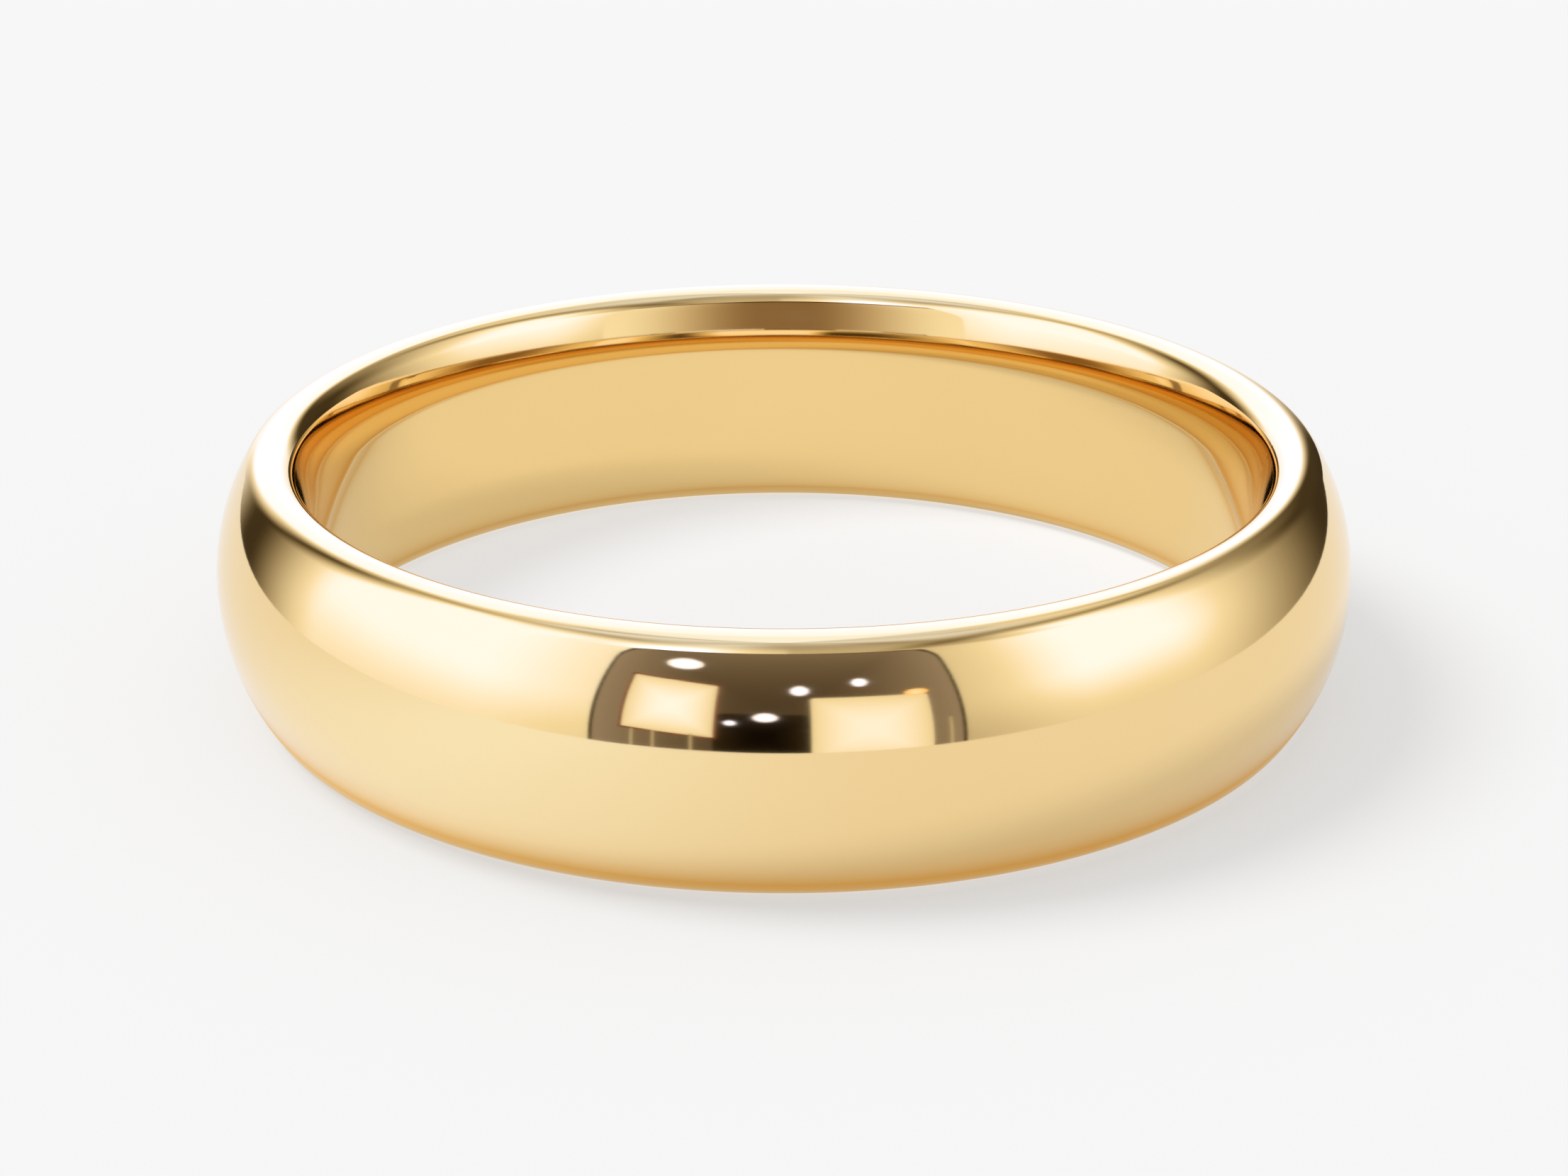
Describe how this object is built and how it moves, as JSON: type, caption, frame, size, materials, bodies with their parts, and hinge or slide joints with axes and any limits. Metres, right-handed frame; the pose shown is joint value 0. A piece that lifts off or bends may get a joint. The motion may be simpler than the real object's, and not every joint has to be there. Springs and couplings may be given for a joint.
{
  "type": "wedding band",
  "caption": "Plain court-section wedding band with a domed outside, comfort-fit inside and softly rounded rims.",
  "frame": {"origin": "centre of the band on the surface it lies on, at the bottom of the lower rim", "axes": "+Z along the axis of the finger bore, from the lower rim to the upper one; +X through the solder joint"},
  "size_m": [0.0228, 0.0228, 0.005],
  "materials": {
    "gold": "mirror polished 18 ct yellow gold",
    "gold_solder": "mirror polished colour-matched gold solder"
  },
  "bodies": {
    "root": {"band": "gold", "solder_seam": "gold_solder"}
  },
  "joints": []
}
